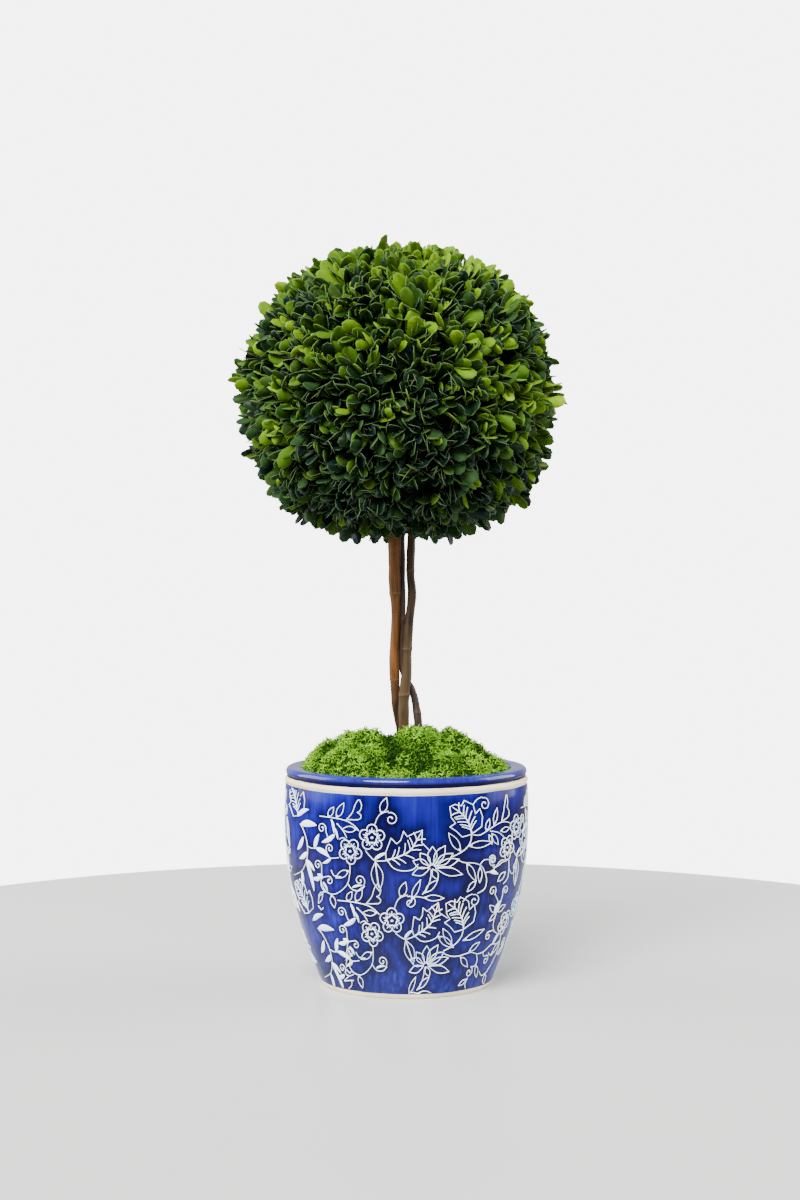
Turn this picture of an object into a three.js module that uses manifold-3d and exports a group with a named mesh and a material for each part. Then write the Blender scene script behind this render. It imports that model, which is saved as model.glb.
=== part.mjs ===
// A clipped ball of preserved box on three twining stems, standing in a glazed pot topped with moss.
// Millimetres, +Z up. The origin is the centre of the pot's flat underside, and -Y is the front.
import * as THREE from "three";
import { mergeVertices } from "three/addons/utils/BufferGeometryUtils.js";
import Module from "manifold-3d";

const wasm = await Module();
wasm.setup();

// ---------------------------------------------------------------- driving dimensions
const GAP = 0.3; // clearance between neighbouring solids
const UP = new THREE.Vector3(0, 0, 1);

const POT = {
  height: 161,
  footRadius: 62.8,
  bellyRadius: 90.2,
  bellyHeight: 133, // where the side is widest
  rimRadius: 89.2,
  mouthRadius: 77.2, // inner edge of the rim
  wall: 9.5, // thickness of the side below the rim
  floor: 10,
  rimDepth: 13, // how far the thick rim reaches down inside
  outerRound: 4.5, // rounding of the rim's outer edge
  innerRound: 2,
  footRound: 0.8,
  heelRound: 6, // bevel where the inside meets the floor
  facets: 40,
  sideSteps: 8, // straight steps that follow the curve of the side
};

const FILL_TOP = 148; // ground level, the top of the filling under the moss

const BALL = {
  centre: new THREE.Vector3(-6, 0, 436.6),
  radius: 118, // half its width, at the leaf tips
  halfHeight: 110.5,
  squareness: 2.25, // 2 is an ellipsoid, more is boxier
  coreShare: 0.85, // core size against the leaf tips
  coreDetail: 3,
  sprigs: 98,
  shake: 0.09, // how far a sprig strays from its even place
  seed: 11,
};

const LEAF = { length: 25, width: 15, thickness: 1.5, widest: 0.6 };
const TWIG = { radius: 2, length: 26, below: 13 };

// The pairs of leaves on a sprig: how far they end below the ball's reach, and their spread from its line.
const LEAF_PAIRS = [
  { below: 2, spread: 0.5 },
  { below: 6, spread: 1.0 },
];
const LEAF_STRAY = { turn: 0.3, spread: 0.24, height: 4 }; // the most that one leaf differs from another

const STEM_SIDES = 8;
const STEM_STEPS = 22;

// Each stem runs through these points from the filling to its tip inside the ball: x, y, z and radius.
const STEMS = {
  stem_left: [
    [0.6, 4.0, FILL_TOP, 2.9],
    [-3.0, 4.0, 181, 2.8],
    [-7.0, 2.6, 209, 2.7],
    [-9.0, 0.0, 243, 2.6],
    [-7.2, -0.8, 271, 2.6],
    [-8.8, -1.4, 304, 3.4],
    [-8.0, -1.2, 372, 3.6],
  ],
  stem_middle: [
    [10.6, 1.0, FILL_TOP, 2.9],
    [9.2, 1.0, 188, 2.8],
    [5.6, 2.6, 213, 2.6],
    [0.2, 3.8, 232, 2.4],
    [-3.0, 2.9, 252, 2.3],
    [-2.9, 3.2, 288, 2.3],
    [-4.4, 4.2, 372, 2.3],
  ],
  stem_right: [
    [-1.5, -2.7, FILL_TOP, 3.4],
    [-1.7, -2.7, 200, 3.3],
    [0.7, -2.5, 231, 3.1],
    [1.4, -1.7, 259, 2.9],
    [4.4, -1.0, 288, 2.6],
    [3.1, -1.0, 310, 2.4],
    [5.6, -1.0, 372, 2.4],
  ],
};

// Cushions of moss, each with its middle, radius and top: x, y, radius, z. An earlier one keeps its whole
// shape where two meet.
const MOSS = {
  moss_front: [7, -31, 27, 189],
  moss_mid_left: [-27, -8, 24, 188],
  moss_mid_right: [38, -2, 29, 187],
  moss_back: [2, 42, 33, 186],
  moss_back_left: [-40, 36, 32, 183],
  moss_back_right: [44, 38, 31, 181],
  moss_front_left: [-32, -40, 33, 178],
  moss_front_right: [36, -46, 30, 176],
  moss_left: [-60, -6, 27, 178],
  moss_right: [62, -8, 24, 173],
};
const CUSHION_SQUARENESS = 2.4;
const CUSHION_DETAIL = 3;

const COLOURS = {
  leaf: { color: 0x3c5a22, roughness: 0.5 },
  bark: { color: 0x5f3f26, roughness: 0.7 },
  moss: { color: 0x76a32c, roughness: 0.95 },
  glaze: { color: 0x1c3fa6, roughness: 0.12 },
  filling: { color: 0x3d2f24, roughness: 1 },
};

// ---------------------------------------------------------------- solids and meshes
function solidOf(geometry) {
  const bare = geometry.clone();
  bare.deleteAttribute("normal");
  bare.deleteAttribute("uv");
  const merged = mergeVertices(bare, 1e-4);
  return new wasm.Manifold(
    new wasm.Mesh({
      numProp: 3,
      vertProperties: new Float32Array(merged.attributes.position.array),
      triVerts: new Uint32Array(merged.index.array),
    }),
  );
}

function geometryOf(solid) {
  const { vertProperties, triVerts } = solid.getMesh();
  const geometry = new THREE.BufferGeometry();
  geometry.setAttribute("position", new THREE.BufferAttribute(vertProperties, 3));
  geometry.setIndex(new THREE.BufferAttribute(triVerts, 1));
  return geometry;
}

// The largest closed shell of a solid: loose scraps go, and hollows sealed by fusing are filled.
function largestShell(solid) {
  return solid.decompose().reduce((best, shell) => (shell.volume() > best.volume() ? shell : best));
}

function meshOf(name, solid, look) {
  const geometry = geometryOf(solid);
  geometry.computeVertexNormals();
  const mesh = new THREE.Mesh(geometry, new THREE.MeshStandardMaterial(look));
  mesh.name = name;
  return mesh;
}

function seededRandom(seed) {
  let state = seed;
  return () => {
    state = (state + 0x6d2b79f5) | 0;
    let mixed = Math.imul(state ^ (state >>> 15), state | 1);
    mixed ^= mixed + Math.imul(mixed ^ (mixed >>> 7), mixed | 61);
    return ((mixed ^ (mixed >>> 14)) >>> 0) / 2 ** 32;
  };
}

// ---------------------------------------------------------------- turned pieces
// Revolves a profile of (radius, height) points, which starts and ends on the axis, about Z.
function turned(profile) {
  const lathe = new THREE.LatheGeometry(profile, POT.facets);
  return solidOf(lathe.rotateX(Math.PI / 2));
}

function arc(x, z, radius, from, to, steps) {
  const curve = new THREE.EllipseCurve(x, z, radius, radius, from, to, to < from);
  return curve.getPoints(steps);
}

// The outside of the pot from its foot to its belly.
const sideCurve = new THREE.CubicBezierCurve(
  new THREE.Vector2(POT.footRadius, 0),
  new THREE.Vector2(POT.footRadius + 24, 60),
  new THREE.Vector2(POT.bellyRadius, 85),
  new THREE.Vector2(POT.bellyRadius, POT.bellyHeight),
);

// Inner radius of the side at each point of its outer curve, from the floor up to the underside of the rim.
function innerSide(clearance) {
  const inset = POT.wall + clearance;
  return sideCurve
    .getPoints(POT.sideSteps)
    .filter((point) => point.y > POT.floor + POT.heelRound)
    .map((point) => new THREE.Vector2(point.x - inset, point.y));
}

function makePot() {
  const { height, rimRadius, mouthRadius, outerRound, innerRound, footRound, heelRound } = POT;
  const rimTop = height - outerRound;
  const inner = innerSide(0).reverse();
  const profile = [
    new THREE.Vector2(0, 0),
    new THREE.Vector2(POT.footRadius - footRound, 0),
    new THREE.Vector2(POT.footRadius, footRound),
    ...sideCurve.getPoints(POT.sideSteps).slice(1),
    ...arc(rimRadius - outerRound, rimTop, outerRound, 0, Math.PI / 2, 3),
    ...arc(mouthRadius + innerRound, height - innerRound, innerRound, Math.PI / 2, Math.PI, 2),
    new THREE.Vector2(mouthRadius, height - POT.rimDepth),
    ...inner,
    new THREE.Vector2(inner[inner.length - 1].x - heelRound, POT.floor),
    new THREE.Vector2(0, POT.floor),
  ];
  return turned(profile);
}

// The filling lies on the pot's floor and stops under the moss. Its shoulder passes under the thick rim.
function makeFilling() {
  const inner = innerSide(GAP);
  const neck = POT.mouthRadius - GAP;
  const profile = [
    new THREE.Vector2(0, POT.floor),
    new THREE.Vector2(inner[0].x - POT.heelRound, POT.floor),
    ...inner,
    new THREE.Vector2(neck, POT.height - POT.rimDepth - 2 * GAP),
    new THREE.Vector2(neck, FILL_TOP),
    new THREE.Vector2(0, FILL_TOP),
  ];
  return turned(profile);
}

// ---------------------------------------------------------------- stems
// A round limb through points that each give x, y, z and radius, cut flat at both ends. It stands near
// upright, so each of its rings lies flat. It can be swollen all round and at its tip.
function limb(points, grow = 0) {
  const places = points.map(([x, y, z]) => new THREE.Vector3(x, y, z));
  const route = new THREE.CatmullRomCurve3(places);
  const position = [];
  for (let step = 0; step <= STEM_STEPS; step++) {
    const along = (step / STEM_STEPS) * (points.length - 1);
    const from = Math.min(Math.floor(along), points.length - 2);
    const radius = THREE.MathUtils.lerp(points[from][3], points[from + 1][3], along - from) + grow;
    const centre = route.getPoint(step / STEM_STEPS);
    if (step === STEM_STEPS) centre.z += grow;
    for (let side = 0; side < STEM_SIDES; side++) {
      const angle = (side / STEM_SIDES) * 2 * Math.PI;
      position.push(centre.x + radius * Math.cos(angle), centre.y + radius * Math.sin(angle), centre.z);
    }
  }
  return solidOf(ringedSkin(position, STEM_SIDES));
}

// Closes rings of points that lie one above another into one skin, with a flat face at each end.
function ringedSkin(position, sides) {
  const index = [];
  const last = position.length / 3 - sides;
  for (let ring = 0; ring < last; ring += sides) {
    for (let side = 0; side < sides; side++) {
      const next = (side + 1) % sides;
      index.push(ring + side, ring + next, ring + sides + next);
      index.push(ring + side, ring + sides + next, ring + sides + side);
    }
  }
  for (let side = 1; side < sides - 1; side++) {
    index.push(0, side + 1, side, last, last + side, last + side + 1);
  }
  const geometry = new THREE.BufferGeometry();
  geometry.setAttribute("position", new THREE.Float32BufferAttribute(position, 3));
  geometry.setIndex(index);
  return geometry;
}

// The stems swollen by the clearance, which their neighbours are cut by.
const stemRoom = wasm.Manifold.union(Object.values(STEMS).map((points) => limb(points, GAP)));

// ---------------------------------------------------------------- moss
// Waves that lift and sink the skin of a cushion, as a share of its radius.
function lumps({ x, y, z }, phase) {
  return (
    0.055 * Math.sin(5.1 * x + 2.3 * y + phase) +
    0.05 * Math.sin(4.3 * y - 3.7 * z + 2 * phase) +
    0.035 * Math.sin(9.2 * x - 7.4 * y + 5 * z + 3 * phase)
  );
}

// Distance from the middle of a boxy ball to its skin in a direction, for half sizes of one.
function boxyReach(x, y, z, squareness) {
  return (Math.hypot(x, y) ** squareness + Math.abs(z) ** squareness) ** (-1 / squareness);
}

function cushion([x, y, radius, top], phase, grow = 0) {
  const geometry = new THREE.IcosahedronGeometry(1, CUSHION_DETAIL);
  const position = geometry.attributes.position;
  const direction = new THREE.Vector3();
  for (let i = 0; i < position.count; i++) {
    direction.fromBufferAttribute(position, i);
    const reach = boxyReach(direction.x, direction.y, direction.z, CUSHION_SQUARENESS);
    const swell = reach * (1 + lumps(direction, phase));
    position.setXYZ(
      i,
      x + direction.x * (radius * swell + grow),
      y + direction.y * (radius * swell + grow),
      FILL_TOP + direction.z * ((top - FILL_TOP) * swell + grow),
    );
  }
  return solidOf(geometry);
}

// Every cushion lies on the filling inside the pot's mouth, clear of the stems and the cushions before it.
function makeMoss() {
  const mouth = turned([
    new THREE.Vector2(0, FILL_TOP + GAP),
    new THREE.Vector2(POT.mouthRadius - GAP, FILL_TOP + GAP),
    new THREE.Vector2(POT.mouthRadius - GAP, 2 * FILL_TOP),
    new THREE.Vector2(0, 2 * FILL_TOP),
  ]);
  let taken = stemRoom;
  return Object.entries(MOSS).map(([name, size], order) => {
    const solid = largestShell(cushion(size, order).intersect(mouth).subtract(taken));
    taken = taken.add(cushion(size, order, GAP));
    return meshOf(name, solid, COLOURS.moss);
  });
}

// ---------------------------------------------------------------- foliage
// The point where the leaf tips end in a direction from the ball's centre, or a share of the way there.
function ballPoint(direction, share = 1) {
  const x = direction.x / BALL.radius;
  const y = direction.y / BALL.radius;
  const reach = share * boxyReach(x, y, direction.z / BALL.halfHeight, BALL.squareness);
  return direction.clone().multiplyScalar(reach).add(BALL.centre);
}

function makeCore() {
  const geometry = new THREE.IcosahedronGeometry(1, BALL.coreDetail);
  const position = geometry.attributes.position;
  const direction = new THREE.Vector3();
  for (let i = 0; i < position.count; i++) {
    direction.fromBufferAttribute(position, i);
    const { x, y, z } = ballPoint(direction, BALL.coreShare);
    position.setXYZ(i, x, y, z);
  }
  return solidOf(geometry);
}

// One leaf of eight faces along +X from its root at the origin, with its face up.
function leafGeometry() {
  const { length, width, thickness, widest } = LEAF;
  const corners = [
    [0, 0, 0],
    [widest * length, width / 2, 0],
    [length, 0, 0],
    [widest * length, -width / 2, 0],
    [widest * length, 0, thickness / 2],
    [widest * length, 0, -thickness / 2],
  ];
  const index = [];
  for (let side = 0; side < 4; side++) {
    const next = (side + 1) % 4;
    index.push(4, next, side, 5, side, next);
  }
  const geometry = new THREE.BufferGeometry();
  geometry.setAttribute("position", new THREE.Float32BufferAttribute(corners.flat(), 3));
  geometry.setIndex(index);
  return geometry;
}

// A three-sided twig along +Z that ends among the leaves of its sprig.
function twigGeometry() {
  const { radius, length, below } = TWIG;
  return new THREE.ConeGeometry(radius, length, 3).rotateX(Math.PI / 2).translate(0, 0, -length / 2 - below);
}

// The leaves of one sprig, whose twig runs along +Z, in crossed pairs.
function sprigLeaves(random) {
  const turn = random() * 2 * Math.PI;
  return LEAF_PAIRS.flatMap(({ below, spread }, pair) =>
    [0, Math.PI].map((side) => {
      const around = turn + side + (pair * Math.PI) / 2 + LEAF_STRAY.turn * (random() - 0.5);
      const rise = Math.PI / 2 - spread + LEAF_STRAY.spread * (random() - 0.5);
      const root = LEAF_STRAY.height * random() - below - LEAF.length * Math.cos(spread);
      return leafGeometry().rotateY(-rise).rotateZ(around).translate(0, 0, root);
    }),
  );
}

// Directions spread evenly over a sphere along a spiral, and shaken a little.
function sprigDirection(sprig, random) {
  const goldenTurn = Math.PI * (3 - Math.sqrt(5));
  const level = 1 - (2 * sprig + 1) / BALL.sprigs;
  const ring = Math.sqrt(1 - level * level);
  const around = sprig * goldenTurn;
  const even = new THREE.Vector3(ring * Math.cos(around), ring * Math.sin(around), level);
  const shake = new THREE.Vector3(random() - 0.5, random() - 0.5, random() - 0.5);
  return even.addScaledVector(shake, BALL.shake).normalize();
}

// The core with its twigs and leaves fused on. A twig or leaf that would touch a stem is left out.
function makeFoliage() {
  const random = seededRandom(BALL.seed);
  const pieces = [makeCore()];
  for (let sprig = 0; sprig < BALL.sprigs; sprig++) {
    const direction = sprigDirection(sprig, random);
    const turn = new THREE.Quaternion().setFromUnitVectors(UP, direction);
    const place = new THREE.Matrix4().compose(ballPoint(direction), turn, new THREE.Vector3(1, 1, 1));
    for (const geometry of [twigGeometry(), ...sprigLeaves(random)]) {
      const piece = solidOf(geometry.applyMatrix4(place));
      if (piece.intersect(stemRoom).isEmpty()) pieces.push(piece);
    }
  }
  return largestShell(wasm.Manifold.union(pieces).subtract(stemRoom));
}

// ---------------------------------------------------------------- the whole plant
const topiary = new THREE.Group();
topiary.add(meshOf("pot", makePot(), COLOURS.glaze));
topiary.add(meshOf("pot_filling", makeFilling(), COLOURS.filling));
for (const [name, points] of Object.entries(STEMS)) {
  topiary.add(meshOf(name, limb(points), COLOURS.bark));
}
topiary.add(...makeMoss());
topiary.add(meshOf("foliage_ball", makeFoliage(), COLOURS.leaf));

export default topiary;
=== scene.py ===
"""A clipped ball of preserved box on three twining stems, in a blue glazed pot topped with moss.

Metres, +Z up, and -Y is the front. The tables that say so are in millimetres, and so is the scroll, which
is drawn flat and then wrapped on the pot.
"""
import math

import bpy
import numpy as np
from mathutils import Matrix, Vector
from mathutils.kdtree import KDTree


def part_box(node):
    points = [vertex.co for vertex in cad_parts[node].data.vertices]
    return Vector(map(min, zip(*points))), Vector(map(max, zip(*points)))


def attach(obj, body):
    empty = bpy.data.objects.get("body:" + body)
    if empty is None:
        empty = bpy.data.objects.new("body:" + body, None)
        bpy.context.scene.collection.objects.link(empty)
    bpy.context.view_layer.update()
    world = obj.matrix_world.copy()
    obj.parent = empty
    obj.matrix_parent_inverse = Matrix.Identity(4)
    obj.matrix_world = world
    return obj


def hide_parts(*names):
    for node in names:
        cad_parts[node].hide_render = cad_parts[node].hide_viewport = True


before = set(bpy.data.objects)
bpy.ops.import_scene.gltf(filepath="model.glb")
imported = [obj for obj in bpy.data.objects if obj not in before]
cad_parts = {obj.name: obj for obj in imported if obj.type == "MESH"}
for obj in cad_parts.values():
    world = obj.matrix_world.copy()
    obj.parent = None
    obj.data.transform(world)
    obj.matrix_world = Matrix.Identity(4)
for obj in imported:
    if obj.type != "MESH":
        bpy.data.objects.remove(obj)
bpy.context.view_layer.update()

chance = np.random.default_rng(7)
MM = 0.001
GOLDEN_TURN = math.pi * (3 - math.sqrt(5))
ROOT = "root"
MOSS_NODES = [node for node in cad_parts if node.startswith("moss_")]

# ---------------------------------------------------------------- sizes
POT_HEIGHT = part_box("pot")[1][2]
BELLY = 0.0902
FOOT = 0.0628
MOUTH = 0.0772  # inner edge of the rim
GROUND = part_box("pot_filling")[1][2]  # top of the filling, under the moss
BAND = (0.1494, 0.1542)  # the bare clay under the rim, from its lower edge to its upper one
FOOT_BAND = 0.0036
SIDE_CURVE = np.array([(FOOT, 0), (0.0868, 0.060), (BELLY, 0.085), (BELLY, 0.133)])

BALL_CENTRE = np.array([-0.006, 0, 0.4366])
BALL_SIZE = np.array([0.118, 0.118, 0.1105])  # half sizes, at the leaf tips
BALL_SQUARENESS = (2.5, 2.28)  # of its lower and of its upper half

STEMS = {  # x, y, z and radius in mm, from the filling up into the ball
    "stem_left": [
        (0.2, 4.0, 148, 3.3), (-3.4, 4.0, 181, 3.4), (-7.6, 2.6, 209, 3.4), (-9.0, 0.0, 243, 3.7),
        (-7.9, -0.8, 271, 3.3), (-8.7, -1.4, 304, 4.5), (-8.2, -1.2, 372, 4.9),
    ],
    "stem_middle": [
        (10.6, 1.0, 148, 3.1), (9.2, 1.0, 188, 3.0), (6.8, 2.6, 208, 2.9), (3.6, 3.7, 218.5, 2.8),
        (-0.8, 4.2, 226.5, 2.6), (-3.4, 3.6, 240, 2.5), (-3.0, 3.0, 288, 2.5), (-4.4, 4.2, 372, 2.5),
    ],
    "stem_right": [
        (-1.5, -2.7, 148, 3.8), (-1.8, -2.7, 200, 3.9), (-1.2, -2.6, 217, 4.2), (0.2, -2.5, 231, 3.7),
        (1.0, -1.7, 259, 3.6), (4.2, -1.0, 288, 3.2), (3.1, -1.0, 310, 3.1), (5.6, -1.0, 372, 3.0),
    ],
}
STEMS_MIDDLE = -0.003  # x of their middle where they enter the ball


# ---------------------------------------------------------------- materials
BLUES = [  # from where the glaze has run thick, and the painted shade under the rim, to where it is thin
    (0.12, (0.0012, 0.0002, 0.024)), (0.38, (0.0042, 0.0022, 0.075)), (0.62, (0.0070, 0.0054, 0.152)),
    (0.95, (0.018, 0.029, 0.245)),
]
WORN_BLUE = (0.036, 0.042, 0.110)
CLAY_STOPS = [(0.3, (0.66, 0.56, 0.37)), (0.7, (0.82, 0.75, 0.56))]
SLIP_STOPS = [
    (0.34, (0.56, 0.74, 0.99)), (0.52, (0.76, 0.88, 0.99)),
    (0.66, (0.92, 0.95, 0.94)), (0.8, (0.89, 0.88, 0.72)),
]
# Heights where the glaze changes, each with how softly it does.
RIM_COAT = (0.1574, 0.0008)  # glossier above
HIGH_SIDE = (0.128, 0.030)  # lighter above
LOW_SIDE = (0.105, 0.055)  # streaked below
NEAR_FOOT = (0.040, 0.040)  # worn below


class Wire:
    """An output that Python's operators work on: each adds its Math node."""

    def __init__(self, finish, socket):
        self.finish = finish
        self.socket = socket

    def math(self, operation, *values):
        return self.finish.node("ShaderNodeMath", {"operation": operation}, dict(enumerate(values)))

    def __add__(self, other):
        return self.math("ADD", self, other)

    def __sub__(self, other):
        return self.math("SUBTRACT", self, other)

    def __rsub__(self, other):
        return self.math("SUBTRACT", other, self)

    def __mul__(self, other):
        return self.math("MULTIPLY", self, other)

    __radd__ = __add__
    __rmul__ = __mul__

    def clamped(self):
        return self.finish.node(
            "ShaderNodeMath", {"operation": "MAXIMUM", "use_clamp": True}, {0: self, 1: 0.0}
        )

    def step(self, edge, softness):
        """0 below the edge and 1 above it."""
        sockets = {"Value": self, "From Min": edge - softness, "From Max": edge + softness}
        return self.finish.node("ShaderNodeMapRange", {"interpolation_type": "SMOOTHSTEP"}, sockets)


class Finish:
    """A material whose nodes are added one call at a time."""

    def __init__(self, name, **constants):
        self.material = bpy.data.materials.new(name)
        self.material.use_nodes = True
        self.tree = self.material.node_tree
        self.shader = self.tree.nodes["Principled BSDF"]
        for socket, value in constants.items():
            self.shader.inputs[socket.replace("_", " ").title().replace("Ior", "IOR")].default_value = value

    def feed(self, socket, value):
        if isinstance(value, Wire):
            self.tree.links.new(value.socket, socket)
        else:
            socket.default_value = value

    def node(self, kind, settings, sockets, output=0):
        node = self.tree.nodes.new(kind)
        for name, value in settings.items():
            if name == "stops":
                ramp = node.color_ramp.elements
                while len(ramp) < len(value):
                    ramp.new(0.5)
                for element, (position, colour) in zip(ramp, value):
                    element.position = position
                    element.color = (*colour, 1)
            else:
                setattr(node, name, value)
        for name, value in sockets.items():
            self.feed(node.inputs[name], value)
        return Wire(self, node.outputs[output])

    def show(self, socket, value):
        self.feed(self.shader.inputs[socket], value)

    def place(self):
        return self.node("ShaderNodeTexCoord", {}, {}, "Object")

    def height(self):
        return self.node("ShaderNodeSeparateXYZ", {}, {0: self.place()}, "Z")

    def noise(self, scale, detail=2.0, stretch=(1, 1, 1)):
        """Noise about 0.5, drawn out along an axis where its stretch is small."""
        spot = self.node("ShaderNodeVectorMath", {"operation": "MULTIPLY"}, {0: self.place(), 1: stretch})
        return self.node("ShaderNodeTexNoise", {}, {"Vector": spot, "Scale": scale, "Detail": detail})

    def ramp(self, value, stops):
        return self.node("ShaderNodeValToRGB", {"stops": stops}, {0: value})

    def mix(self, share, first, second):
        sockets = {0: share, 6: as_colour(first), 7: as_colour(second)}
        return self.node("ShaderNodeMix", {"data_type": "RGBA"}, sockets, 2)

    def bump(self, height, distance, strength=1.0):
        sockets = {"Height": height, "Distance": distance, "Strength": strength}
        self.show("Normal", self.node("ShaderNodeBump", {}, sockets))


def as_colour(value):
    return value if isinstance(value, Wire) else (*value, 1)


def cobalt_glaze():
    """Brushed blue glaze over cream clay, which shows in a band under the rim and at the foot."""
    finish = Finish("cobalt_glaze", specular_ior_level=0.04, coat_roughness=0.04)
    height = finish.height()
    level = height + (finish.noise(45) - 0.5) * 0.0012
    below_rim = level.step(BAND[0], 0.0003) * (1 - level.step(BAND[1], 0.0002))
    clay = (below_rim + 1 - level.step(FOOT_BAND, 0.0003)).clamped()
    streaks = finish.noise(340, 3, (1, 1, 0.05))
    clouds = finish.noise(24, 2, (1, 1, 0.8))
    pooled = finish.node("ShaderNodeAttribute", {"attribute_name": "pooled"}, {}, "Fac")
    # Painted shade under the rolled rim: a narrow band just above the clay band is pushed to the darkest
    # blue.
    painted_shade_under_rim = height.step(BAND[1] - 0.0004, 0.0003) * (1 - height.step(BAND[1] + 0.0030, 0.0014))
    low = 1 - height.step(*LOW_SIDE)
    foot = 1 - height.step(*NEAR_FOOT)
    high = height.step(*HIGH_SIDE)
    tone = clouds * 1.05 + streaks * 0.45 - pooled * 0.68 - painted_shade_under_rim * 0.9 + high * 0.14 + foot * 0.10
    tone = (tone + (low + foot) * (streaks - 0.5) * 0.7 - 0.17).clamped()
    blue = finish.mix(low * 0.10 + foot * 0.22, finish.ramp(tone, BLUES), WORN_BLUE)
    finish.show("Base Color", finish.mix(clay, blue, finish.ramp(finish.noise(30, 4), CLAY_STOPS)))
    finish.show("Roughness", 0.10 + clay * 0.35 + streaks * 0.08)
    finish.show("Coat Weight", height.step(*RIM_COAT) * 0.55 + 0.05)
    finish.bump(streaks * 0.5 + clouds * 1.4 + finish.noise(900) * clay, 0.0004, 0.5)
    return finish.material


def slip_lines():
    """The raised lines of the scroll, blue-white to cream under clear glaze."""
    finish = Finish("cream_slip", specular_ior_level=0.4)
    patches = finish.noise(55, 3)
    finish.show("Base Color", finish.ramp(patches, SLIP_STOPS))
    finish.show("Roughness", 0.2 + patches * 0.15)
    finish.bump(finish.noise(500), 0.0002, 0.4)
    return finish.material


SCAR_COLOUR = (0.28, 0.20, 0.10)
SCAR_HALF = 0.0005  # half the height of a scar
SCAR_BLUR = 0.0003
STEM_SHADE = (0.214, 0.016)  # the height that a stem is darker below, and how softly


def bark(name, dark, light, shade, knots):
    """Streaked bark, with a pale line where each side shoot was cut."""
    finish = Finish(name, specular_ior_level=0.15)
    grain = finish.noise(520, 4, (1, 1, 0.07))
    patches = finish.noise(70, 3, (1, 1, 0.35))
    tone = grain * 0.6 + patches * 0.6 - (1 - finish.height().step(*STEM_SHADE)) * shade
    level = finish.height() + (finish.noise(90) - 0.5) * 0.004
    scars = sum(
        level.step(knot - SCAR_HALF, SCAR_BLUR) * (1 - level.step(knot + SCAR_HALF, SCAR_BLUR))
        for knot in knots
    )
    skin = finish.ramp(tone, [(0.40, dark), (0.70, light)])
    finish.show("Base Color", finish.mix(scars * 0.09, skin, SCAR_COLOUR))
    finish.show("Roughness", 0.42 + grain * 0.25)
    finish.bump(grain + finish.noise(1500) * 0.3, 0.0005, 0.7)
    return finish.material


def plain_growth(name, colour, roughness, grain, mottle=0.12, gloss=0.25):
    """A leaf or moss tint, even but for a fine mottle, so that it doesn't matter where on it a piece lies."""
    finish = Finish(name, specular_ior_level=gloss)
    speckle = finish.noise(grain, 2)
    darker = tuple(channel * (1 - mottle) for channel in colour)
    lighter = tuple(channel * (1 + mottle) for channel in colour)
    finish.show("Base Color", finish.ramp(speckle, [(0.3, darker), (0.7, lighter)]))
    finish.show("Roughness", roughness + speckle * 0.12)
    finish.bump(speckle, 0.0003, 0.3)
    return finish.material


def peat():
    finish = Finish("peat")
    crumbs = finish.noise(400, 5)
    finish.show("Base Color", finish.ramp(crumbs, [(0.3, (0.02, 0.013, 0.008)), (0.7, (0.08, 0.05, 0.03))]))
    finish.show("Roughness", 0.8 + crumbs * 0.2)
    finish.bump(crumbs, 0.001)
    return finish.material


# ---------------------------------------------------------------- meshes
link = bpy.context.scene.collection.objects.link


def new_object(name, points, faces, finishes):
    """An object from an array of points and an array, or a plain list, of faces."""
    mesh = bpy.data.meshes.new(name)
    mesh.from_pydata(points.tolist(), [], faces if isinstance(faces, list) else faces.tolist())
    for finish in finishes:
        mesh.materials.append(finish)
    made = bpy.data.objects.new(name, mesh)
    link(made)
    return made


def add_piece(name, points, faces, finishes, finish_of_face=None):
    """A smooth mesh on the root body, each face of which takes one of the given finishes."""
    piece = new_object(name, points, faces, finishes)
    if finish_of_face is not None:
        piece.data.polygons.foreach_set("material_index", np.asarray(finish_of_face, dtype=np.int32))
    piece.data.shade_smooth()
    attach(piece, ROOT)
    return piece


def unit(vectors):
    return vectors / np.linalg.norm(vectors, axis=-1, keepdims=True)


def about_axis(radii, angles):
    """The x and y of places at these radii and angles about Z."""
    return radii * np.cos(angles), radii * np.sin(angles)


def deal_out(score, shares):
    """The kind of each thing, dealt out by rising score so that every kind gets its share."""
    return np.searchsorted(np.cumsum(shares), np.argsort(np.argsort(score)) / len(score))


def smooth_curve(knots, steps):
    """Points along a smooth curve through the knots, which may be places, radii or complex numbers."""
    knots = np.asarray(knots)
    padded = np.concatenate([[2 * knots[0] - knots[1]], knots, [2 * knots[-1] - knots[-2]]])
    at = np.linspace(0, len(knots) - 1, steps)
    span = np.minimum(at.astype(int), len(knots) - 2)
    t = at - span
    if knots.ndim > 1:
        t = t[:, None]
    a, b, c, d = (padded[span + offset] for offset in range(4))
    return 0.5 * (2 * b + (c - a) * t + (2 * a - 5 * b + 4 * c - d) * t**2 + (3 * b - a - 3 * c + d) * t**3)


def tube_faces(rings, sides):
    """The quads between rings of points that lie one after another."""
    ring, side = np.meshgrid(np.arange(rings - 1), np.arange(sides), indexing="ij")
    here = ring * sides + side
    across = ring * sides + (side + 1) % sides
    return np.stack([here, across, across + sides, here + sides], axis=-1).reshape(-1, 4)


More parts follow.
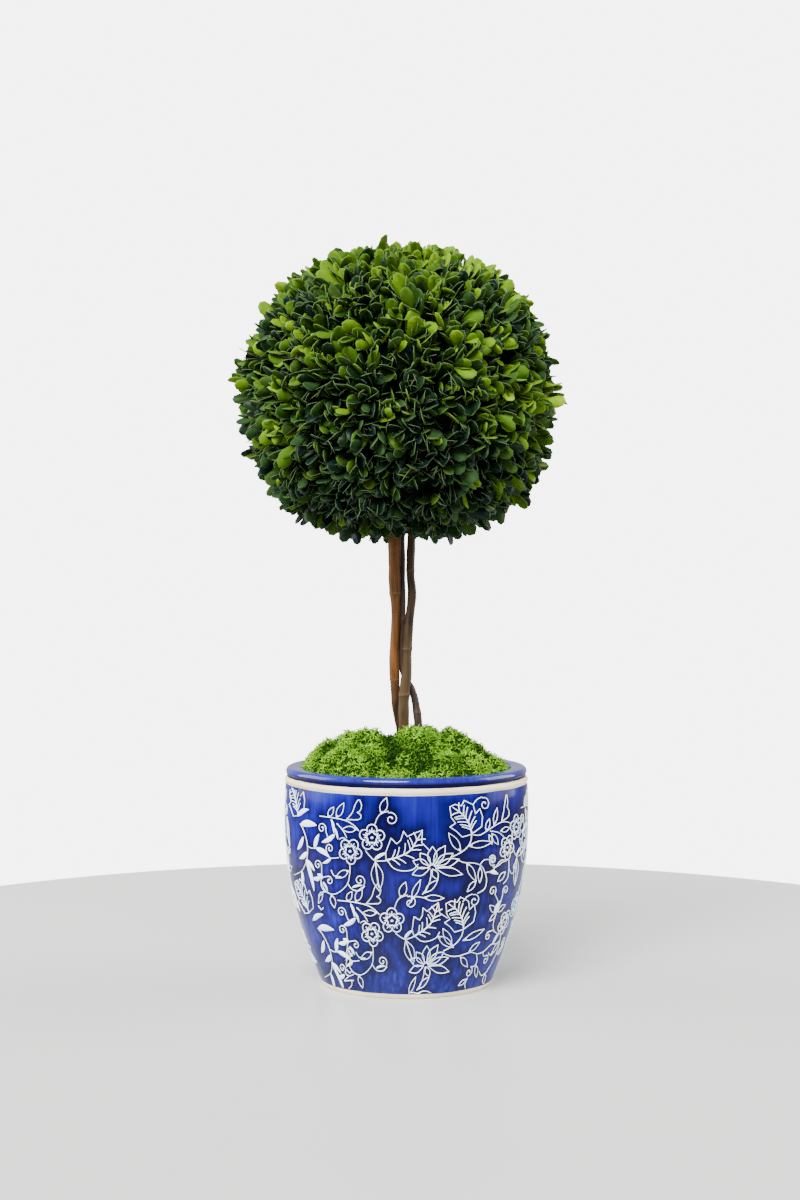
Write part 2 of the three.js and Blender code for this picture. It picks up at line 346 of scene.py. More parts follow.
def strands(paths, radii, sides=3):
    """The points and triangles of one closed tube along each path, given as arrays of (path, point, axis)."""
    count, length, _ = paths.shape
    along = unit(paths[:, -1] - paths[:, 0])
    helper = np.where(np.abs(along[:, 2:]) < 0.9, [[0.0, 0.0, 1.0]], [[1.0, 0.0, 0.0]])
    across = unit(np.cross(along, helper))
    other = np.cross(along, across)
    angles = np.arange(sides) * 2 * math.pi / sides
    section = across[:, None] * np.cos(angles)[:, None] + other[:, None] * np.sin(angles)[:, None]
    points = paths[:, :, None] + section[:, None] * radii[:, :, None, None]
    quads = tube_faces(length, sides)
    one = np.concatenate([quads[:, [0, 1, 2]], quads[:, [0, 2, 3]]])
    fan = np.array([(0, side + 1, side) for side in range(1, sides - 1)])
    one = np.concatenate([one, fan, fan[:, ::-1] + (length - 1) * sides])
    faces = one + np.arange(count)[:, None, None] * length * sides
    return points.reshape(-1, 3), faces.reshape(-1, 3)


# ---------------------------------------------------------------- pot
POT_SEGMENTS = 320
AXIS_GAP = 0.00005  # radius of the tiny ring that closes a turned shape
GLAZE_POOL = 0.0036  # how far the glaze lies thick and dark beside a raised line


def bezier(corners, steps):
    t = np.linspace(0, 1, steps)[:, None]
    a, b, c, d = corners
    return (1 - t) ** 3 * a + 3 * (1 - t) ** 2 * t * b + 3 * (1 - t) * t**2 * c + t**3 * d


def arc(x, z, radius, start, end, steps):
    angles = np.radians(np.linspace(start, end, steps))
    return np.stack([x + radius * np.cos(angles), z + radius * np.sin(angles)], axis=1)


# The outside as radius and height, from the foot to the rolled rim. A clay band stands a little proud.
NECK = 0.0893
OUTSIDE = np.concatenate([
    [(FOOT - 0.0008, 0), (FOOT - 0.0001, 0.0004)],
    bezier(SIDE_CURVE, 104)[1:],
    [(0.0901, 0.138), (0.0898, 0.143), (NECK + 0.0002, BAND[0] - 0.001), (NECK, BAND[0] - 0.0002)],
    arc(NECK - 0.0016, np.mean(BAND), 0.0024, -48, 48, 9),
    [(NECK - 0.0009, BAND[1] + 0.0002)],
    arc(NECK - 0.0031, POT_HEIGHT - 0.0031, 0.0031, -35, 90, 14),
])
INSIDE = np.concatenate([
    [(0.0845, POT_HEIGHT + 0.0001), (0.0820, POT_HEIGHT)],
    arc(MOUTH + 0.0024, POT_HEIGHT - 0.0024, 0.0024, 90, 180, 9),
    [(MOUTH, POT_HEIGHT - 0.013), (0.0800, 0.138), (0.0800, 0.100)],
    [(0.0690, 0.050), (0.0600, 0.012), (0.0500, 0.010)],
])


def turn_profile(profile, segments):
    """Points and quads of a profile of radii and heights turned about Z."""
    angles = np.linspace(0, 2 * math.pi, segments, endpoint=False)
    heights = np.broadcast_to(profile[:, 1:], (len(profile), segments))
    points = np.stack([*about_axis(profile[:, :1], angles), heights], axis=-1)
    return points.reshape(-1, 3), tube_faces(len(profile), segments)


def make_pot(lines):
    profile = np.concatenate([[(AXIS_GAP, 0), (FOOT * 0.6, 0)], OUTSIDE, INSIDE, [(AXIS_GAP, 0.010)]])
    points, faces = turn_profile(profile, POT_SEGMENTS)
    pot = add_piece("pot_body", points, faces, [cobalt_glaze()])
    near = KDTree(len(lines))
    for order, spot in enumerate(wrap(lines, 0)):
        near.insert(spot, order)
    near.balance()
    pooled = [math.exp(-near.find(point)[2] / GLAZE_POOL) for point in points]
    pot.data.attributes.new("pooled", "FLOAT", "POINT").data.foreach_set("value", pooled)
    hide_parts("pot")


# ---------------------------------------------------------------- scroll, drawn flat
GIRTH = 2 * math.pi * 90  # mm of drawing round the pot, so x = 0 is the front
LINE = 0.65  # width of a plain line, in mm
LINE_HEIGHT = 0.00045


class Drawing:
    """Strokes of the scroll: complex numbers hold points, x along the girth and height up the pot."""

    def __init__(self):
        self.strokes = []
        self.shift = 0j
        self.turn = 1

    def stroke(self, points, width=LINE):
        """A line whose width is one number, or one for each point."""
        points = np.asarray(points, dtype=complex) * self.turn + self.shift
        self.strokes.append((points, np.broadcast_to(width, points.shape)))

    def vine(self, *knots, width=LINE):
        knots = np.array(knots)
        length = np.abs(np.diff(knots)).sum()
        self.stroke(smooth_curve(knots, max(5, int(length / 1.8))), width)

    def corners(self, *knots, width=LINE):
        """Straight lines from corner to corner."""
        for start, end in zip(knots, knots[1:]):
            steps = max(2, int(abs(end - start) / 2.5))
            self.stroke(np.linspace(start, end, steps), width)

    def edges(self, root, tip, width, shoulder, cheek, line=LINE):
        """Both edges of a pointed leaf or petal, widest from the shoulder to the cheek along it."""
        side = (tip - root) * 1j / abs(tip - root) * width / 2
        for bulge in (side, -side):
            widest = root + (tip - root) * shoulder + bulge
            narrower = root + (tip - root) * cheek + bulge * 0.85
            self.vine(root, widest, narrower, tip, width=line)

    def leaf(self, root, tip, width, vein=False):
        """A pointed leaf in outline, its stalk filled as far as the two edges part."""
        self.edges(root, tip, width, 0.35, 0.68, LINE * 0.9)
        self.vine(root, root + (tip - root) * 0.14, width=LINE * 1.3)
        if vein:
            self.vine(root, root + (tip - root) * 0.45, root + (tip - root) * 0.85, width=1.0)

    def solid_leaf(self, root, tip, width):
        """A leaf filled with slip."""
        t = np.linspace(0, 1, 10)
        bend = (tip - root) * 0.06j * np.sin(math.pi * t)
        self.stroke(root + (tip - root) * t + bend, 0.5 + (width - 0.5) * np.sin(math.pi * t**0.85) ** 0.8)

    def curl(self, centre, radius, start, turns=1.25, tail=()):
        """A tendril that comes in along its tail and winds up, turning left where turns is positive."""
        t = np.linspace(0, 1, 22)
        angle = np.radians(start) + turns * 2 * math.pi * t
        spiral = centre + radius * (1 - 0.78 * t) * np.exp(1j * angle)
        width = np.interp(t, [0, 0.8, 1], [LINE, LINE * 1.1, LINE * 1.9])
        self.stroke(spiral, width)
        if tail:
            self.vine(*tail, spiral[0], spiral[2])

    def blossom(self, middle, radius, turn):
        """Five round petals in outline, each with a solid one inside it, about a star and a dot."""
        ring = np.linspace(0, 2 * math.pi, 41)
        star = 0.40 + 0.05 * np.cos(5 * (ring - math.radians(turn)))
        self.stroke(middle + radius * star * np.exp(1j * ring), radius * 0.11)
        self.stroke(middle + np.array([-0.1, 0.1]), 1.9)
        for petal in range(5):
            out = radius * np.exp(1j * math.radians(turn + 72 * petal))
            rim = np.radians(np.linspace(-112, 112, 12))
            self.stroke(middle + out * (0.58 + 0.38 * np.exp(1j * rim)), 0.85)
            for lean, reach in ((-17, 0.58), (0, 0.70), (17, 0.58)):
                spoke = np.linspace(0.42, reach, 3) * np.exp(1j * math.radians(lean))
                self.stroke(middle + out * spoke, np.linspace(1.3, 0.5, 3))

    def toothed_leaf(self, outline, rib, veins, length):
        """A broad leaf with teeth: corners of its edge, its midrib, and veins to both sides."""
        self.corners(*outline)
        middle = smooth_curve(rib, 20)
        self.stroke(middle, np.linspace(1.2, 0.7, 20))
        for at in np.linspace(0.12, 0.8, veins):
            spot = middle[int(at * 19)]
            along = middle[min(19, int(at * 19) + 2)] - spot
            along /= abs(along)
            for side in (1, -1):
                reach = length * (1 - 0.55 * abs(at - 0.35))
                end = spot + along * np.exp(1j * side * math.radians(52)) * reach
                self.vine(spot, (spot + end) / 2 + along * 0.4, end, width=0.75)

    def petals(self, middle, tips, width):
        """Pointed petals in outline from a flower's middle to each tip."""
        for tip in tips:
            base = middle + (tip - middle) * 0.12
            self.edges(base, tip, min(width, abs(tip - base) * 0.5), 0.4, 0.7)


def blossoms(draw):
    """Two blossoms side by side."""
    draw.blossom(-24.7 + 119.5j, 9.8, 90)
    draw.blossom(-41.5 + 109j, 9.6, 59)


def blossom_stem(draw):
    """The stem that brings the blossoms in from the left, with leaves and a pod on it."""
    draw.vine(-68 + 132j, -60 + 132j, -52 + 131.6j, -44 + 130.4j, -38 + 127.5j, -34.5 + 124j)
    draw.leaf(-60 + 132j, -55 + 139.5j, 4)
    draw.leaf(-52.5 + 132j, -46.5 + 143j, 4.6)
    draw.vine(
        -44.5 + 131j, -39.5 + 136.5j, -37.3 + 142.5j, -34.5 + 146j, -32.4 + 142j,
        -33.6 + 138j, -35.6 + 137j,
    )
    draw.vine(-35.6 + 137j, -32.8 + 135j, -33.6 + 132.2j, -38 + 131.6j, -43 + 131.5j)
    draw.leaf(-36 + 125j, -48 + 124.2j, 4)
    draw.vine(-52 + 128j, -47 + 123.5j, -44 + 118.5j)
    draw.solid_leaf(-57 + 130.5j, -54.6 + 121j, 2.4)
    draw.solid_leaf(-54.5 + 125j, -51.5 + 117j, 2)
    draw.vine(-50 + 117j, -47 + 118.5j, -45 + 117j)
    draw.solid_leaf(-54 + 120j, -66 + 113.5j, 3.8)
    draw.curl(-66 + 123.5j, 4.2, -20, tail=(-60.5 + 118j, -61.4 + 120j))


def top_sprig(draw):
    """A leaf and a tendril that rise from the upper blossom."""
    draw.vine(-22.5 + 129j, -21 + 133j, -18.5 + 136.5j, -13 + 138.5j)
    draw.curl(-11 + 133j, 4.8, 110, -1.2)
    draw.leaf(-18 + 136.5j, -14.3 + 148j, 5)


def hanging_stem(draw):
    """The stem that swings down from the lower blossom to the left, with open leaves and a tendril."""
    draw.vine(
        -42 + 99.5j, -42 + 95j, -44 + 86.5j, -49 + 81j, -55 + 77.5j,
        -60 + 76.5j, -66 + 78.5j, -69 + 84j,
    )
    draw.leaf(-43 + 95j, -54.5 + 89j, 4.4)
    draw.vine(-50 + 90j, -56 + 90.3j, -58.2 + 94j)
    draw.vine(-44.6 + 86j, -41 + 81.5j, -35 + 81.2j, -31 + 84.5j)
    draw.curl(-34.7 + 88.4j, 4.2, -30, 1.15, tail=(-33 + 82.4j,))
    draw.solid_leaf(-41 + 83j, -33 + 85j, 1.8)
    draw.leaf(-60 + 76j, -58.6 + 66.5j, 5)


def branching_curl(draw):
    """A knot of tendrils and half-open leaves at the end of a stem."""
    draw.curl(-71.3 + 96.5j, 4, -15, 1.2, tail=(-68 + 89j,))
    draw.solid_leaf(-67 + 87.5j, -72 + 90j, 4.5)
    draw.solid_leaf(-70 + 87j, -78 + 86j, 3.6)
    draw.curl(-60.8 + 86.2j, 3.4, 120, -1.1, tail=(-67.5 + 88j,))
    draw.solid_leaf(-67 + 84.5j, -63.5 + 78.5j, 2)
    draw.vine(-69 + 86j, -69.5 + 81j, -66 + 77.5j)
    draw.vine(-66 + 77.5j, -71 + 76.5j, -74 + 73.5j)
    draw.leaf(-69 + 76j, -75.5 + 68j, 3)
    draw.vine(-76 + 66j, -73 + 63.5j, -70.5 + 65.5j)


def leafy_vine(draw):
    """A long stem with filled leaves to both sides, that ends in tendrils at the blossoms."""
    draw.vine(
        -91 + 124j, -86 + 119j, -82.5 + 111j, -82.6 + 103j, -85 + 97j,
        -91 + 90.5j, -99 + 87j, -108 + 84.5j,
    )
    for root, tip, width in (
        (-96 + 129j, -80.5 + 135.5j, 4.2),
        (-91 + 123.5j, -71.5 + 125j, 5.6),
        (-87.5 + 115j, -96.5 + 104.8j, 4.4),
        (-83 + 104.5j, -94 + 98.6j, 4.2),
        (-85 + 98.5j, -75.6 + 91.8j, 4.0),
        (-84.5 + 97j, -78.5 + 77j, 4.4),
        (-92 + 89.5j, -95 + 77j, 4.4),
        (-74 + 108j, -69 + 119j, 4.2),
        (-72.5 + 108.5j, -59.5 + 103.6j, 4.4),
        (-58 + 102.5j, -66 + 98.4j, 2.6),
    ):
        draw.solid_leaf(root, tip, width)
    draw.vine(-82.5 + 109j, -77 + 108j, -72 + 108.5j, -64 + 105.5j, -58 + 102.8j, -51 + 103.8j)
    draw.curl(-58.7 + 109.6j, 3.6, 200, -1.15, tail=(-61 + 104j,))


def rising_leaf(draw):
    """A toothed leaf that points up to the right, and a drooping one under it."""
    edge = (
        -14.5 + 104j, -15 + 109j, -11 + 119.5j, -7 + 115.6j, -4 + 118.5j, -2.2 + 124.5j, 0.5 + 120.8j,
        5 + 123j, 11 + 125.2j, 10.6 + 116.5j, 13.5 + 113.5j, 16.5 + 110.5j,
    )
    draw.toothed_leaf(edge, (-14 + 104j, -6 + 106.3j, 2 + 110.5j, 6.5 + 117j, 10.5 + 124j), 6, 8.0)
    draw.vine(-13.5 + 103.5j, -9.5 + 98.5j, -3.5 + 96.5j, 4 + 97.2j, 8 + 101j)
    draw.vine(-29.5 + 110j, -26 + 106j, -22 + 103.2j, -14 + 103.6j)
    draw.solid_leaf(-23 + 104j, -14.5 + 109j, 2.6)
    draw.leaf(-22.4 + 102.5j, -20 + 81.5j, 8, vein=True)


def lotus(draw):
    """A pointed many-petalled flower, with leaves on its stalk."""
    middle = 18 + 98.5j
    draw.petals(middle, (18.3 + 113.5j, 27.6 + 113.8j, 33.5 + 108j, 9.5 + 109j, 4.5 + 103.5j), 6.5)
    draw.petals(middle, (41.5 + 92.5j, 38.5 + 103.5j, 4 + 93.8j, 22.5 + 90j), 5.5)
    draw.solid_leaf(22 + 98j, 33 + 97.5j, 1.6)
    draw.vine(17.6 + 97j, 17.2 + 91j, 15 + 84j, 11.5 + 79.5j)
    draw.leaf(13 + 80.5j, 22.6 + 89.5j, 4.2)
    draw.vine(1 + 71.5j, 6 + 77.5j, 12 + 77j)
    draw.leaf(3.5 + 76j, 10 + 90j, 3.6)
    draw.leaf(12.5 + 77j, 28 + 76j, 4)


def broad_leaf(draw):
    """A wide toothed leaf that leans to the left."""
    edge = (
        31 + 141j, 35 + 142.6j, 40 + 141.4j, 42.3 + 145j, 49.5 + 141.5j, 51.4 + 135j, 55.2 + 138.3j,
        57.6 + 132.5j, 56.8 + 125.5j, 48 + 120.6j, 40.5 + 119.2j, 36 + 123.5j, 31 + 126.8j, 35.2 + 129.3j,
        32 + 133.5j, 31 + 141j,
    )
    draw.toothed_leaf(edge, (48.3 + 121.5j, 45.8 + 128.5j, 41 + 135j, 33.5 + 140.4j), 6, 8.6)


def broad_leaf_stalk(draw):
    """The stalk from the lotus to the broad leaf, with a plain leaf."""
    draw.vine(48.3 + 121.5j, 47.6 + 116j, 44.5 + 111.5j, 40 + 108.4j, 33 + 105.6j)
    draw.leaf(39.6 + 109j, 30 + 122.6j, 5)


def long_leaf(draw):
    """A plain leaf that reaches out from under the broad one."""
    draw.leaf(45.5 + 112.5j, 67 + 113.4j, 4.6)


def top_curl(draw):
    """A tendril over the broad leaf."""
    draw.vine(49.5 + 141.5j, 52.5 + 144.8j, 57 + 146.4j)
    draw.curl(59.6 + 141.2j, 4.9, 110, -1.2)


def trailing_stem(draw):
    """A stem that leaves the lotus to the right with leaves that hang from it."""
    draw.vine(35.5 + 104j, 42 + 101j, 50 + 100j, 57 + 97.5j, 61 + 92.5j, 63.5 + 86j, 62 + 80j, 56 + 77.5j)
    draw.leaf(44.5 + 100.5j, 53.5 + 86.5j, 4.4)
    draw.leaf(53.5 + 87j, 46.5 + 79.5j, 4)
    draw.leaf(56.5 + 96.5j, 57 + 85j, 3.6)
    draw.vine(56.5 + 98.5j, 60 + 101.5j, 66 + 100.8j)
    draw.curl(68.2 + 100.6j, 3.8, 150, -1.2)
    draw.vine(62 + 92j, 68 + 92.5j, 73 + 96j, 77 + 99j, 82 + 99j)
    draw.solid_leaf(66 + 92j, 75 + 89.5j, 3.2)


def second_spray(draw):
    """The blossoms' stem as it rises from the broad leaf, with narrow leaves and a pod above it."""
    draw.blossom(97 + 121j, 9.6, 95)
    draw.blossom(84.7 + 107.6j, 9.4, 62)
    draw.vine(50 + 120j, 55 + 119.5j, 61 + 121.6j, 68.8 + 124.8j, 75.6 + 126.6j, 82 + 126.6j, 89 + 124.5j)
    draw.leaf(61 + 122j, 64 + 130.5j, 3.8)
    draw.leaf(68.6 + 125.5j, 71.9 + 137.5j, 3.8)
    draw.vine(
        77 + 127.5j, 79 + 134j, 81 + 140.5j, 83.4 + 146j, 84.6 + 141j, 83.8 + 137j,
        86 + 133.5j, 85 + 130j, 78 + 127.6j,
    )
    draw.vine(65 + 121.5j, 72 + 120.2j, 77.5 + 117.5j, 80.5 + 114.5j)
    draw.leaf(76 + 120.5j, 87 + 121.6j, 3.4)
    draw.leaf(66.5 + 119.6j, 73.5 + 111j, 4)
    draw.leaf(64 + 119j, 67 + 112j, 2.6)
    draw.vine(84 + 98j, 79 + 97.6j, 73 + 95j, 69 + 95.4j)
    draw.curl(68.4 + 100.2j, 4.0, -60, -1.2)
    draw.vine(87.5 + 98j, 88.6 + 91j, 88 + 85j, 83 + 81.5j)
    draw.leaf(84 + 90j, 75.5 + 84j, 4.6)
    draw.vine(88.5 + 92j, 93 + 87.5j, 97 + 88j)
    draw.curl(97.6 + 91.6j, 3.8, -70, 1.2)
    draw.leaf(104 + 112j, 112 + 104j, 4)
    draw.vine(106 + 118j, 112 + 114j, 118 + 113j)


def seed_head(draw):
    """A solid bud between two open leaves, with tendrils to both sides."""
    draw.solid_leaf(78 + 60j, 83 + 69j, 6)
    draw.leaf(79 + 61j, 70 + 67j, 4)
    draw.leaf(81 + 61j, 91 + 65j, 4)
    draw.leaf(80 + 60j, 73 + 55j, 3.6)
    draw.curl(71 + 77.5j, 4.2, -40, 1.2, tail=(80 + 68j, 77 + 72j))
    draw.curl(87.5 + 76j, 4, 210, -1.2, tail=(83 + 68j, 84 + 72j))
    draw.vine(80 + 60j, 79 + 53j, 82 + 47j, 88 + 44j)
    draw.curl(76 + 43.5j, 3.8, 60, 1.2, tail=(84 + 45.5j, 80 + 47.5j))


def foot_vine(draw):
    """A vine under the lotus that climbs to the right between tendrils."""
    draw.vine(33 + 34j, 40 + 31.8j, 47 + 31.5j, 54 + 32.6j, 60 + 33j, 68 + 31j, 76 + 32j, 84 + 36j, 95 + 35j)
    draw.leaf(49 + 30.5j, 59.5 + 22j, 4.2)
    draw.leaf(57 + 34j, 67 + 40j, 4)
    draw.curl(63 + 17.5j, 4.2, 80, -1.2, tail=(67 + 30.5j, 70 + 25j, 68 + 21.5j))
    draw.curl(82 + 24.5j, 4, 120, -1.2, tail=(75 + 31.5j, 77 + 28j))
    draw.leaf(70 + 22j, 76 + 12j, 4)
    draw.solid_leaf(86 + 36j, 92 + 44j, 3.6)
    draw.leaf(62 + 12j, 54 + 8j, 3.4)
    draw.vine(63 + 13j, 62 + 8j, 66 + 3j)
    draw.leaf(25 + 48j, 40.5 + 38.5j, 5)


def foot_curl(draw):
    """Tendrils and a leaf beside the foot, under the leafy vine."""
    draw.curl(-63.8 + 20.4j, 4, -60, 1.2, tail=(-52 + 17j, -58 + 15j))
    draw.solid_leaf(-63.5 + 15.4j, -73.8 + 12j, 3.6)
    draw.vine(-58 + 15j, -66 + 10.6j, -60 + 11.4j, -54 + 12j)
    draw.vine(-56 + 12j, -57.5 + 8j, -62.5 + 5j)


def placed(x, height, turn=0, scale=1):
    """How a copy of a group is moved: its shift, and its turn and scale about its anchor."""
    return x + 1j * height, scale * np.exp(1j * math.radians(turn))


LOWER = placed(13.5, -59.5)
LOW_ASIDE = placed(138, -58)
LAYOUT = (  # each group of the scroll, its anchor, and where its copies go over half of the girth
    (blossoms, -34 + 115j, (LOWER, LOW_ASIDE)),
    (blossom_stem, -34 + 124j, (LOWER, placed(174, 2))),
    (top_sprig, -22 + 129j, (LOWER, LOW_ASIDE, placed(171, -3))),
    (hanging_stem, -42 + 100j, (LOWER, placed(138, -58, 24))),
    (second_spray, 80 + 110j, ()),
    (branching_curl, -68 + 86j, (placed(17, -46),)),
    (leafy_vine, -83 + 104j, (placed(8, -75.5),)),
    (rising_leaf, -14 + 104j, (placed(20.3, -55.2, 14, 0.91), placed(122, -4), placed(146, -58, 11))),
    (lotus, 18 + 98j, (placed(-1.5, -72.5), placed(120, 8), placed(131, -74))),
    (broad_leaf, 48 + 121j, (placed(-1.2, -69), placed(-143, 9), placed(-140, -62))),
    (broad_leaf_stalk, 48 + 121j, (placed(-1.2, -69),)),
    (long_leaf, 45 + 112j, (placed(3.3, -69.5, 15), placed(118, 14, -75), placed(116, -38, -62, 0.9))),
    (top_curl, 50 + 141j, (placed(-6, -69),)),
    (trailing_stem, 56 + 98j, ()),
    (seed_head, 80 + 60j, (placed(80, 25),)),
    (foot_vine, 60 + 30j, ()),
    (foot_curl, -64 + 20j, ()),
)


def inside_bands(points, width):
    """The runs of a stroke that lie between the two clay bands."""
    free = (points.imag > FOOT_BAND / MM + 0.6) & (points.imag < BAND[0] / MM - 0.6)
    ends = np.flatnonzero(np.diff(free.astype(int))) + 1
    for run in np.split(np.arange(len(points)), ends):
        if free[run[0]] and len(run) > 1:
            yield points[run], width[run]


def draw_scroll():
    draw = Drawing()
    for half in (0, GIRTH / 2):
        for group, anchor, copies in LAYOUT:
            for shift, turn in (placed(0, 0), *copies):
                draw.turn = turn
                draw.shift = anchor + shift + half - anchor * turn
                group(draw)
    return [run for stroke in draw.strokes for run in inside_bands(*stroke)]


def wrap(points, lift):
    """Places on the pot's side for points of the drawing, lifted off it along its normal."""
    heights = np.clip(points.imag * MM, OUTSIDE[:, 1].min(), BAND[0] - 0.001)
    side = OUTSIDE[OUTSIDE[:, 1] < BAND[0] - 0.0005]
    radii = np.interp(heights, side[:, 1], side[:, 0])
    slope = np.interp(heights, side[:, 1], np.gradient(side[:, 0], side[:, 1]))
    scale = 1 / np.hypot(1, slope)
    out = radii + lift * scale
    angles = points.real / GIRTH * 2 * math.pi
    return np.stack([out * np.sin(angles), -out * np.cos(angles), heights - lift * slope * scale], axis=-1)


# Across a line: share of its half width, and share of its height.
SECTION = np.array([(-1, -0.5), (-0.78, 0.62), (0, 1), (0.78, 0.62), (1, -0.5)])
ROUND_END = np.array([(0.6, 0.8), (1.0, 0.15)])  # how far on, and the width left there


def raised_line(points, width):
    """The rings of one raised line with round ends, as an array of (ring, point, axis)."""
    ahead = np.gradient(points)
    ahead /= np.abs(ahead)
    start = points[0] - ahead[0] * width[0] / 2 * ROUND_END[::-1, 0]
    end = points[-1] + ahead[-1] * width[-1] / 2 * ROUND_END[:, 0]
    centres = np.concatenate([start, points, end])
    widths = np.concatenate([width[0] * ROUND_END[::-1, 1], width, width[-1] * ROUND_END[:, 1]])
    sides = 1j * np.concatenate([np.repeat(ahead[:1], 2), ahead, np.repeat(ahead[-1:], 2)])
    spots = centres[:, None] + sides[:, None] * widths[:, None] / 2 * SECTION[:, 0]
    lifts = LINE_HEIGHT * SECTION[:, 1] * np.sqrt(np.minimum(1, widths / LINE))[:, None]
    return wrap(spots, lifts)


def make_scroll(strokes):
    points, faces, total = [], [], 0
    for spots, width in strokes:
        rings = raised_line(spots, width)
        count, sides, _ = rings.shape
        faces.append(tube_faces(count, sides)[:, ::-1] + total)
        points.append(rings.reshape(-1, 3))
        total += count * sides
    scroll = add_piece("pot_scroll", np.concatenate(points), np.concatenate(faces), [slip_lines()])
    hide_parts("pot")


# ---------------------------------------------------------------- stems
STEM_RINGS = 260
STEM_SIDES = 20
BARKS = {  # the dark and light of each, and how much darker it gets near the moss
    "stem_left": ((0.014, 0.006, 0.002), (0.120, 0.046, 0.010), 0.28),
    "stem_middle": ((0.008, 0.005, 0.004), (0.046, 0.027, 0.019), 0.0),
    "stem_right": ((0.009, 0.0055, 0.003), (0.048, 0.027, 0.009), 0.0),
}
KNOTS = {"stem_left": (0.289, 0.225), "stem_middle": (0.201, 0.27), "stem_right": (0.248, 0.214, 0.306)}
KNOT_SWELL = 0.0003
KNOT_REACH = 0.0016  # how far up and down the stem a knot swells it


def make_stem(name):
    """A stem with long low ridges, bumps and the swollen rings where side shoots were cut."""
    route = np.array(STEMS[name]) * MM
    path = smooth_curve(route[:, :3], STEM_RINGS)
    radius = smooth_curve(route[:, 3], STEM_RINGS)
    height = path[:, 2]
    phase = len(name)
    radius = radius * (1 + 0.04 * np.sin(height * 210 + phase) + 0.015 * np.sin(height * 530 + 2 * phase))
    for knot in KNOTS[name]:
        radius = radius + KNOT_SWELL * np.exp(-(((height - knot) / KNOT_REACH) ** 2))
    angles = np.arange(STEM_SIDES) * 2 * math.pi / STEM_SIDES
    twist = height[:, None] * 22 + angles
    ridges = 1 + 0.03 * np.sin(3 * twist + phase) + 0.012 * np.sin(7 * twist + height[:, None] * 50)
    reach = radius[:, None] * ridges
    rings = path[:, None] + np.stack([*about_axis(reach, angles), 0 * reach], axis=-1)
    points = np.concatenate([rings.reshape(-1, 3), path[[0, -1]]])
    quads = tube_faces(STEM_RINGS, STEM_SIDES).tolist()
    bottom, top = len(points) - 2, len(points) - 1
    last = (STEM_RINGS - 1) * STEM_SIDES
    for side in range(STEM_SIDES):
        next_side = (side + 1) % STEM_SIDES
        quads.append([bottom, next_side, side, side])
        quads.append([top, last + side, last + next_side, last + next_side])
    faces = [face if len(set(face)) == 4 else face[:3] for face in quads]
    return points, faces


def make_stems():
    for name in STEMS:
        points, faces = make_stem(name)
        finish = bark(name + "_bark", *BARKS[name], KNOTS[name])
        stem = add_piece(name + "_bark", points, faces, [finish])
        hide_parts(name)


# ---------------------------------------------------------------- moss
CUSHION_SQUARENESS = 2.4
MOSS_CURLS = 10500
RIM_LEVEL = 0.1605  # where the moss meets the rim
MOSS_STEEPEST = 5.0  # the most curls on a slope, seen from above, for each one on the level
CURL_POINTS = 5
CURL_ROOT = 0.0012  # how deep in the moss a curl begins
BED_DEPTH = 0.0018  # how far the bed lies under the level of the curls
MOSS_TINTS = {  # colour and share, from the clefts to the tops of the lumps, darker below as painted shade
    "shaded": ((0.010, 0.034, 0.003), 0.17),
    "deep": ((0.036, 0.102, 0.007), 0.23),
    "fresh": ((0.080, 0.200, 0.010), 0.28),
    "bright": ((0.140, 0.322, 0.016), 0.21),
    "yellow": ((0.23, 0.45, 0.024), 0.11),
}
LUMPS = 34
LUMP_TURN = 0.9
LUMP_SHAKE = 0.0028
CLEFT_WIDTH = 0.010
CLEFT_DEPTH = 0.0075
HOLLOW_SHADE = 120  # how far a metre of depth moves a curl towards the dark tints, as painted shade in the hollows
HOLLOWS = (  # x, y, depth and width in mm of the hollows among the cushions; a tuft has a negative depth
    (-11.5, -46, 13, 5.5), (-11.0, -32, 13, 5.5), (-10.5, -16, 10, 6.0), (-9.5, -2, 9, 6.5),
    (-9.0, 14, 10, 8.0), (-9.0, 30, 11, 9.0), (-9.0, 48, 8, 10.0), (-3.0, -10, 4, 6.0),
    (4, 22, 3, 10), (44, -2, 4, 10), (44, 18, 4, 12), (58, 0, 10, 14), (55, 25, 8, 14),
    (-45.5, -2, -7.5, 5), (33, -40, 6, 7), (-40, -34, 5, 6), (-55, -14, 4, 7),
)


def lump_middles():
    order = np.arange(LUMPS) + 0.5
    away = MOUTH * np.sqrt(order / LUMPS)
    around = order * GOLDEN_TURN + LUMP_TURN
    shake = LUMP_SHAKE * np.random.default_rng(3).normal(size=(LUMPS, 2))
    return np.stack(about_axis(away, around), axis=1) + shake


LUMP_MIDDLES = lump_middles()


def cushions():
    """Middle, half size and rise of every cushion of moss, from the solids."""
    for node in MOSS_NODES:
        low, high = (np.array(corner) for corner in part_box(node))
        yield (low[:2] + high[:2]) / 2, (high[:2] - low[:2]) / 2, high[2] - GROUND


def clumps(x, y):
    """How far a place lies up its lump of moss, from 0 in the cleft beside it to 1 on top."""
    away = np.hypot(x[..., None] - LUMP_MIDDLES[:, 0], y[..., None] - LUMP_MIDDLES[:, 1])
    nearest = np.sort(away, axis=-1)
    return np.sqrt(np.clip((nearest[..., 1] - nearest[..., 0]) / CLEFT_WIDTH, 0, 1))


